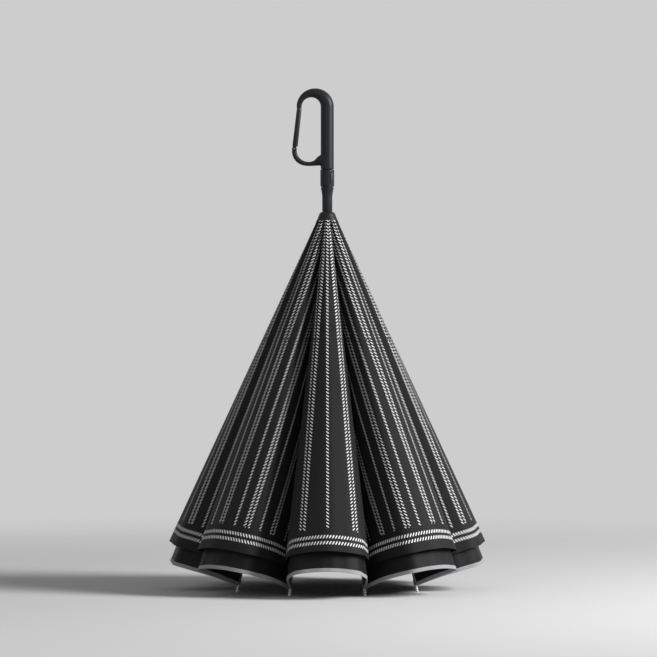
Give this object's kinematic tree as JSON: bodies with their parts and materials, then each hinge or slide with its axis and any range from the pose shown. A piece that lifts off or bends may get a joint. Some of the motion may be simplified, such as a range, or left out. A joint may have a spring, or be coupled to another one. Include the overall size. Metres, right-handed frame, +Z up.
{
  "type": "reverse folding umbrella",
  "caption": "Straight reverse-folding umbrella, folded to a standing cone, with striped double-layer canopy, ribs on a sliding runner and a carabiner loop handle with a sprung gate.",
  "frame": {"origin": "on the shaft's axis, on the floor plane that the rib tips stand on", "axes": "+Z up along the shaft from the crown to the handle, the handle loop points to -X, the front is -Y"},
  "size_m": [0.5008, 0.5008, 0.7974],
  "materials": {
    "canopy_fabric": "woven, near black, striped",
    "wire_steel": "bright",
    "rib_steel": "satin",
    "shaft_steel": "satin black",
    "hub_plastic": "matte",
    "button_plastic": "gloss",
    "handle_plastic": "satin"
  },
  "bodies": {
    "handle": {"handle_loop": "handle_plastic", "gate_pin": "wire_steel", "collar": "handle_plastic", "shaft": "shaft_steel", "crown": "hub_plastic", "crown_ring": "wire_steel"},
    "gate": {"gate": "handle_plastic"},
    "button": {"push_button": "button_plastic"},
    "runner": {"runner_sleeve": "handle_plastic", "runner_cap": "handle_plastic", "rib_hub": "hub_plastic", "rib_ring": "wire_steel"},
    "rib_1": {"rib_1": "rib_steel"},
    "stretcher_1": {"stretcher_1": "rib_steel"},
    "flank_l_1": {"flank_l_1": "canopy_fabric"},
    "crest_l_1": {"crest_l_1": "canopy_fabric"},
    "flank_r_1": {"flank_r_1": "canopy_fabric"},
    "crest_r_1": {"crest_r_1": "canopy_fabric"},
    "rib_2": {"rib_2": "rib_steel"},
    "stretcher_2": {"stretcher_2": "rib_steel"},
    "flank_l_2": {"flank_l_2": "canopy_fabric"},
    "crest_l_2": {"crest_l_2": "canopy_fabric"},
    "flank_r_2": {"flank_r_2": "canopy_fabric"},
    "crest_r_2": {"crest_r_2": "canopy_fabric"},
    "rib_3": {"rib_3": "rib_steel"},
    "stretcher_3": {"stretcher_3": "rib_steel"},
    "flank_l_3": {"flank_l_3": "canopy_fabric"},
    "crest_l_3": {"crest_l_3": "canopy_fabric"},
    "flank_r_3": {"flank_r_3": "canopy_fabric"},
    "crest_r_3": {"crest_r_3": "canopy_fabric"},
    "rib_4": {"rib_4": "rib_steel"},
    "stretcher_4": {"stretcher_4": "rib_steel"},
    "flank_l_4": {"flank_l_4": "canopy_fabric"},
    "crest_l_4": {"crest_l_4": "canopy_fabric"},
    "flank_r_4": {"flank_r_4": "canopy_fabric"},
    "crest_r_4": {"crest_r_4": "canopy_fabric"},
    "rib_5": {"rib_5": "rib_steel"},
    "stretcher_5": {"stretcher_5": "rib_steel"},
    "flank_l_5": {"flank_l_5": "canopy_fabric"},
    "crest_l_5": {"crest_l_5": "canopy_fabric"},
    "flank_r_5": {"flank_r_5": "canopy_fabric"},
    "crest_r_5": {"crest_r_5": "canopy_fabric"},
    "rib_6": {"rib_6": "rib_steel"},
    "stretcher_6": {"stretcher_6": "rib_steel"},
    "flank_l_6": {"flank_l_6": "canopy_fabric"},
    "crest_l_6": {"crest_l_6": "canopy_fabric"},
    "flank_r_6": {"flank_r_6": "canopy_fabric"},
    "crest_r_6": {"crest_r_6": "canopy_fabric"},
    "rib_7": {"rib_7": "rib_steel"},
    "stretcher_7": {"stretcher_7": "rib_steel"},
    "flank_l_7": {"flank_l_7": "canopy_fabric"},
    "crest_l_7": {"crest_l_7": "canopy_fabric"},
    "flank_r_7": {"flank_r_7": "canopy_fabric"},
    "crest_r_7": {"crest_r_7": "canopy_fabric"},
    "rib_8": {"rib_8": "rib_steel"},
    "stretcher_8": {"stretcher_8": "rib_steel"},
    "flank_l_8": {"flank_l_8": "canopy_fabric"},
    "crest_l_8": {"crest_l_8": "canopy_fabric"},
    "flank_r_8": {"flank_r_8": "canopy_fabric"},
    "crest_r_8": {"crest_r_8": "canopy_fabric"}
  },
  "joints": [
    {"name": "runner_slide", "type": "slide", "parent": "handle", "child": "runner", "axis": [0, 0, -1], "range_m": [0, 0.4969], "deforming": ["flank_l_1", "crest_l_1", "flank_r_1", "crest_r_1", "flank_l_2", "crest_l_2", "flank_r_2", "crest_r_2", "flank_l_3", "crest_l_3", "flank_r_3", "crest_r_3", "flank_l_4", "crest_l_4", "flank_r_4", "crest_r_4", "flank_l_5", "crest_l_5", "flank_r_5", "crest_r_5", "flank_l_6", "crest_l_6", "flank_r_6", "crest_r_6", "flank_l_7", "crest_l_7", "flank_r_7", "crest_r_7", "flank_l_8", "crest_l_8", "flank_r_8", "crest_r_8"]},
    {"name": "gate_hinge", "type": "hinge", "parent": "handle", "child": "gate", "pos_m": [-0.0524, 0, 0.7013], "axis": [0, 1, 0], "range_deg": [0, 24], "stiffness_Nm_per_rad": 0.08, "springref_deg": -20.05},
    {"name": "button_press", "type": "slide", "parent": "handle", "child": "button", "axis": [-0.682, 0.7314, 0], "range_m": [0, 0.0012], "stiffness_N_per_m": 500, "springref_m": -0.002},
    {"name": "rib_hinge_1", "type": "hinge", "parent": "runner", "child": "rib_1", "pos_m": [0.00739, 0.00306, 0.5829], "axis": [0.3827, -0.9239, 0], "range_deg": [0, 101.94]},
    {"name": "stretcher_hinge_1", "type": "hinge", "parent": "handle", "child": "stretcher_1", "pos_m": [0.00739, 0.00306, 0.04], "axis": [-0.3827, 0.9239, 0], "range_deg": [0, 42.9]},
    {"name": "flank_hinge_l_1", "type": "hinge", "parent": "rib_1", "child": "flank_l_1", "pos_m": [0.00888, 0.00368, 0.5843], "axis": [0.2245, 0.093, -0.97], "range_deg": [-56.39, 0]},
    {"name": "crest_hinge_l_1", "type": "hinge", "parent": "flank_l_1", "child": "crest_l_1", "pos_m": [0.01418, 0.00902, 0.5843], "axis": [0.3386, 0.2154, -0.9159], "range_deg": [0, 118.48]},
    {"name": "flank_hinge_r_1", "type": "hinge", "parent": "rib_1", "child": "flank_r_1", "pos_m": [0.00888, 0.00368, 0.5843], "axis": [0.2245, 0.093, -0.97], "range_deg": [0, 56.39]},
    {"name": "crest_hinge_r_1", "type": "hinge", "parent": "flank_r_1", "child": "crest_r_1", "pos_m": [0.01641, 0.00365, 0.5843], "axis": [0.3917, 0.0872, -0.9159], "range_deg": [-70.89, 0]},
    {"name": "rib_hinge_2", "type": "hinge", "parent": "runner", "child": "rib_2", "pos_m": [0.00306, 0.00739, 0.5829], "axis": [0.9239, -0.3827, 0], "range_deg": [0, 101.94]},
    {"name": "stretcher_hinge_2", "type": "hinge", "parent": "handle", "child": "stretcher_2", "pos_m": [0.00306, 0.00739, 0.04], "axis": [-0.9239, 0.3827, 0], "range_deg": [0, 42.9]},
    {"name": "flank_hinge_l_2", "type": "hinge", "parent": "rib_2", "child": "flank_l_2", "pos_m": [0.00368, 0.00888, 0.5843], "axis": [0.093, 0.2245, -0.97], "range_deg": [-56.39, 0]},
    {"name": "crest_hinge_l_2", "type": "hinge", "parent": "flank_l_2", "child": "crest_l_2", "pos_m": [0.00365, 0.01641, 0.5843], "axis": [0.0872, 0.3917, -0.9159], "range_deg": [0, 118.48]},
    {"name": "flank_hinge_r_2", "type": "hinge", "parent": "rib_2", "child": "flank_r_2", "pos_m": [0.00368, 0.00888, 0.5843], "axis": [0.093, 0.2245, -0.97], "range_deg": [0, 56.39]},
    {"name": "crest_hinge_r_2", "type": "hinge", "parent": "flank_r_2", "child": "crest_r_2", "pos_m": [0.00902, 0.01418, 0.5843], "axis": [0.2154, 0.3386, -0.9159], "range_deg": [-70.89, 0]},
    {"name": "rib_hinge_3", "type": "hinge", "parent": "runner", "child": "rib_3", "pos_m": [-0.00306, 0.00739, 0.5829], "axis": [0.9239, 0.3827, 0], "range_deg": [0, 101.94]},
    {"name": "stretcher_hinge_3", "type": "hinge", "parent": "handle", "child": "stretcher_3", "pos_m": [-0.00306, 0.00739, 0.04], "axis": [-0.9239, -0.3827, 0], "range_deg": [0, 42.9]},
    {"name": "flank_hinge_l_3", "type": "hinge", "parent": "rib_3", "child": "flank_l_3", "pos_m": [-0.00368, 0.00888, 0.5843], "axis": [-0.093, 0.2245, -0.97], "range_deg": [-56.39, 0]},
    {"name": "crest_hinge_l_3", "type": "hinge", "parent": "flank_l_3", "child": "crest_l_3", "pos_m": [-0.00902, 0.01418, 0.5843], "axis": [-0.2154, 0.3386, -0.9159], "range_deg": [0, 118.48]},
    {"name": "flank_hinge_r_3", "type": "hinge", "parent": "rib_3", "child": "flank_r_3", "pos_m": [-0.00368, 0.00888, 0.5843], "axis": [-0.093, 0.2245, -0.97], "range_deg": [0, 56.39]},
    {"name": "crest_hinge_r_3", "type": "hinge", "parent": "flank_r_3", "child": "crest_r_3", "pos_m": [-0.00365, 0.01641, 0.5843], "axis": [-0.0872, 0.3917, -0.9159], "range_deg": [-70.89, 0]},
    {"name": "rib_hinge_4", "type": "hinge", "parent": "runner", "child": "rib_4", "pos_m": [-0.00739, 0.00306, 0.5829], "axis": [0.3827, 0.9239, 0], "range_deg": [0, 101.94]},
    {"name": "stretcher_hinge_4", "type": "hinge", "parent": "handle", "child": "stretcher_4", "pos_m": [-0.00739, 0.00306, 0.04], "axis": [-0.3827, -0.9239, 0], "range_deg": [0, 42.9]},
    {"name": "flank_hinge_l_4", "type": "hinge", "parent": "rib_4", "child": "flank_l_4", "pos_m": [-0.00888, 0.00368, 0.5843], "axis": [-0.2245, 0.093, -0.97], "range_deg": [-56.39, 0]},
    {"name": "crest_hinge_l_4", "type": "hinge", "parent": "flank_l_4", "child": "crest_l_4", "pos_m": [-0.01641, 0.00365, 0.5843], "axis": [-0.3917, 0.0872, -0.9159], "range_deg": [0, 118.48]},
    {"name": "flank_hinge_r_4", "type": "hinge", "parent": "rib_4", "child": "flank_r_4", "pos_m": [-0.00888, 0.00368, 0.5843], "axis": [-0.2245, 0.093, -0.97], "range_deg": [0, 56.39]},
    {"name": "crest_hinge_r_4", "type": "hinge", "parent": "flank_r_4", "child": "crest_r_4", "pos_m": [-0.01418, 0.00902, 0.5843], "axis": [-0.3386, 0.2154, -0.9159], "range_deg": [-70.89, 0]},
    {"name": "rib_hinge_5", "type": "hinge", "parent": "runner", "child": "rib_5", "pos_m": [-0.00739, -0.00306, 0.5829], "axis": [-0.3827, 0.9239, 0], "range_deg": [0, 101.94]},
    {"name": "stretcher_hinge_5", "type": "hinge", "parent": "handle", "child": "stretcher_5", "pos_m": [-0.00739, -0.00306, 0.04], "axis": [0.3827, -0.9239, 0], "range_deg": [0, 42.9]},
    {"name": "flank_hinge_l_5", "type": "hinge", "parent": "rib_5", "child": "flank_l_5", "pos_m": [-0.00888, -0.00368, 0.5843], "axis": [-0.2245, -0.093, -0.97], "range_deg": [-56.39, 0]},
    {"name": "crest_hinge_l_5", "type": "hinge", "parent": "flank_l_5", "child": "crest_l_5", "pos_m": [-0.01418, -0.00902, 0.5843], "axis": [-0.3386, -0.2154, -0.9159], "range_deg": [0, 118.48]},
    {"name": "flank_hinge_r_5", "type": "hinge", "parent": "rib_5", "child": "flank_r_5", "pos_m": [-0.00888, -0.00368, 0.5843], "axis": [-0.2245, -0.093, -0.97], "range_deg": [0, 56.39]},
    {"name": "crest_hinge_r_5", "type": "hinge", "parent": "flank_r_5", "child": "crest_r_5", "pos_m": [-0.01641, -0.00365, 0.5843], "axis": [-0.3917, -0.0872, -0.9159], "range_deg": [-70.89, 0]},
    {"name": "rib_hinge_6", "type": "hinge", "parent": "runner", "child": "rib_6", "pos_m": [-0.00306, -0.00739, 0.5829], "axis": [-0.9239, 0.3827, 0], "range_deg": [0, 101.94]},
    {"name": "stretcher_hinge_6", "type": "hinge", "parent": "handle", "child": "stretcher_6", "pos_m": [-0.00306, -0.00739, 0.04], "axis": [0.9239, -0.3827, 0], "range_deg": [0, 42.9]},
    {"name": "flank_hinge_l_6", "type": "hinge", "parent": "rib_6", "child": "flank_l_6", "pos_m": [-0.00368, -0.00888, 0.5843], "axis": [-0.093, -0.2245, -0.97], "range_deg": [-56.39, 0]},
    {"name": "crest_hinge_l_6", "type": "hinge", "parent": "flank_l_6", "child": "crest_l_6", "pos_m": [-0.00365, -0.01641, 0.5843], "axis": [-0.0872, -0.3917, -0.9159], "range_deg": [0, 118.48]},
    {"name": "flank_hinge_r_6", "type": "hinge", "parent": "rib_6", "child": "flank_r_6", "pos_m": [-0.00368, -0.00888, 0.5843], "axis": [-0.093, -0.2245, -0.97], "range_deg": [0, 56.39]},
    {"name": "crest_hinge_r_6", "type": "hinge", "parent": "flank_r_6", "child": "crest_r_6", "pos_m": [-0.00902, -0.01418, 0.5843], "axis": [-0.2154, -0.3386, -0.9159], "range_deg": [-70.89, 0]},
    {"name": "rib_hinge_7", "type": "hinge", "parent": "runner", "child": "rib_7", "pos_m": [0.00306, -0.00739, 0.5829], "axis": [-0.9239, -0.3827, 0], "range_deg": [0, 101.94]},
    {"name": "stretcher_hinge_7", "type": "hinge", "parent": "handle", "child": "stretcher_7", "pos_m": [0.00306, -0.00739, 0.04], "axis": [0.9239, 0.3827, 0], "range_deg": [0, 42.9]},
    {"name": "flank_hinge_l_7", "type": "hinge", "parent": "rib_7", "child": "flank_l_7", "pos_m": [0.00368, -0.00888, 0.5843], "axis": [0.093, -0.2245, -0.97], "range_deg": [-56.39, 0]},
    {"name": "crest_hinge_l_7", "type": "hinge", "parent": "flank_l_7", "child": "crest_l_7", "pos_m": [0.00902, -0.01418, 0.5843], "axis": [0.2154, -0.3386, -0.9159], "range_deg": [0, 118.48]},
    {"name": "flank_hinge_r_7", "type": "hinge", "parent": "rib_7", "child": "flank_r_7", "pos_m": [0.00368, -0.00888, 0.5843], "axis": [0.093, -0.2245, -0.97], "range_deg": [0, 56.39]},
    {"name": "crest_hinge_r_7", "type": "hinge", "parent": "flank_r_7", "child": "crest_r_7", "pos_m": [0.00365, -0.01641, 0.5843], "axis": [0.0872, -0.3917, -0.9159], "range_deg": [-70.89, 0]},
    {"name": "rib_hinge_8", "type": "hinge", "parent": "runner", "child": "rib_8", "pos_m": [0.00739, -0.00306, 0.5829], "axis": [-0.3827, -0.9239, 0], "range_deg": [0, 101.94]},
    {"name": "stretcher_hinge_8", "type": "hinge", "parent": "handle", "child": "stretcher_8", "pos_m": [0.00739, -0.00306, 0.04], "axis": [0.3827, 0.9239, 0], "range_deg": [0, 42.9]},
    {"name": "flank_hinge_l_8", "type": "hinge", "parent": "rib_8", "child": "flank_l_8", "pos_m": [0.00888, -0.00368, 0.5843], "axis": [0.2245, -0.093, -0.97], "range_deg": [-56.39, 0]},
    {"name": "crest_hinge_l_8", "type": "hinge", "parent": "flank_l_8", "child": "crest_l_8", "pos_m": [0.01641, -0.00365, 0.5843], "axis": [0.3917, -0.0872, -0.9159], "range_deg": [0, 118.48]},
    {"name": "flank_hinge_r_8", "type": "hinge", "parent": "rib_8", "child": "flank_r_8", "pos_m": [0.00888, -0.00368, 0.5843], "axis": [0.2245, -0.093, -0.97], "range_deg": [0, 56.39]},
    {"name": "crest_hinge_r_8", "type": "hinge", "parent": "flank_r_8", "child": "crest_r_8", "pos_m": [0.01418, -0.00902, 0.5843], "axis": [0.3386, -0.2154, -0.9159], "range_deg": [-70.89, 0]}
  ],
  "couplings": [
    {"joint": "rib_hinge_1", "follows": "runner_slide", "rad_per_m": 3.5805},
    {"joint": "stretcher_hinge_1", "follows": "runner_slide", "rad_per_m": 1.5068},
    {"joint": "flank_hinge_l_1", "follows": "runner_slide", "rad_per_m": -1.9805},
    {"joint": "crest_hinge_l_1", "follows": "runner_slide", "rad_per_m": 4.1616},
    {"joint": "flank_hinge_r_1", "follows": "runner_slide", "rad_per_m": 1.9805},
    {"joint": "crest_hinge_r_1", "follows": "runner_slide", "rad_per_m": -2.4898},
    {"joint": "rib_hinge_2", "follows": "runner_slide", "rad_per_m": 3.5805},
    {"joint": "stretcher_hinge_2", "follows": "runner_slide", "rad_per_m": 1.5068},
    {"joint": "flank_hinge_l_2", "follows": "runner_slide", "rad_per_m": -1.9805},
    {"joint": "crest_hinge_l_2", "follows": "runner_slide", "rad_per_m": 4.1616},
    {"joint": "flank_hinge_r_2", "follows": "runner_slide", "rad_per_m": 1.9805},
    {"joint": "crest_hinge_r_2", "follows": "runner_slide", "rad_per_m": -2.4898},
    {"joint": "rib_hinge_3", "follows": "runner_slide", "rad_per_m": 3.5805},
    {"joint": "stretcher_hinge_3", "follows": "runner_slide", "rad_per_m": 1.5068},
    {"joint": "flank_hinge_l_3", "follows": "runner_slide", "rad_per_m": -1.9805},
    {"joint": "crest_hinge_l_3", "follows": "runner_slide", "rad_per_m": 4.1616},
    {"joint": "flank_hinge_r_3", "follows": "runner_slide", "rad_per_m": 1.9805},
    {"joint": "crest_hinge_r_3", "follows": "runner_slide", "rad_per_m": -2.4898},
    {"joint": "rib_hinge_4", "follows": "runner_slide", "rad_per_m": 3.5805},
    {"joint": "stretcher_hinge_4", "follows": "runner_slide", "rad_per_m": 1.5068},
    {"joint": "flank_hinge_l_4", "follows": "runner_slide", "rad_per_m": -1.9805},
    {"joint": "crest_hinge_l_4", "follows": "runner_slide", "rad_per_m": 4.1616},
    {"joint": "flank_hinge_r_4", "follows": "runner_slide", "rad_per_m": 1.9805},
    {"joint": "crest_hinge_r_4", "follows": "runner_slide", "rad_per_m": -2.4898},
    {"joint": "rib_hinge_5", "follows": "runner_slide", "rad_per_m": 3.5805},
    {"joint": "stretcher_hinge_5", "follows": "runner_slide", "rad_per_m": 1.5068},
    {"joint": "flank_hinge_l_5", "follows": "runner_slide", "rad_per_m": -1.9805},
    {"joint": "crest_hinge_l_5", "follows": "runner_slide", "rad_per_m": 4.1616},
    {"joint": "flank_hinge_r_5", "follows": "runner_slide", "rad_per_m": 1.9805},
    {"joint": "crest_hinge_r_5", "follows": "runner_slide", "rad_per_m": -2.4898},
    {"joint": "rib_hinge_6", "follows": "runner_slide", "rad_per_m": 3.5805},
    {"joint": "stretcher_hinge_6", "follows": "runner_slide", "rad_per_m": 1.5068},
    {"joint": "flank_hinge_l_6", "follows": "runner_slide", "rad_per_m": -1.9805},
    {"joint": "crest_hinge_l_6", "follows": "runner_slide", "rad_per_m": 4.1616},
    {"joint": "flank_hinge_r_6", "follows": "runner_slide", "rad_per_m": 1.9805},
    {"joint": "crest_hinge_r_6", "follows": "runner_slide", "rad_per_m": -2.4898},
    {"joint": "rib_hinge_7", "follows": "runner_slide", "rad_per_m": 3.5805},
    {"joint": "stretcher_hinge_7", "follows": "runner_slide", "rad_per_m": 1.5068},
    {"joint": "flank_hinge_l_7", "follows": "runner_slide", "rad_per_m": -1.9805},
    {"joint": "crest_hinge_l_7", "follows": "runner_slide", "rad_per_m": 4.1616},
    {"joint": "flank_hinge_r_7", "follows": "runner_slide", "rad_per_m": 1.9805},
    {"joint": "crest_hinge_r_7", "follows": "runner_slide", "rad_per_m": -2.4898},
    {"joint": "rib_hinge_8", "follows": "runner_slide", "rad_per_m": 3.5805},
    {"joint": "stretcher_hinge_8", "follows": "runner_slide", "rad_per_m": 1.5068},
    {"joint": "flank_hinge_l_8", "follows": "runner_slide", "rad_per_m": -1.9805},
    {"joint": "crest_hinge_l_8", "follows": "runner_slide", "rad_per_m": 4.1616},
    {"joint": "flank_hinge_r_8", "follows": "runner_slide", "rad_per_m": 1.9805},
    {"joint": "crest_hinge_r_8", "follows": "runner_slide", "rad_per_m": -2.4898}
  ]
}
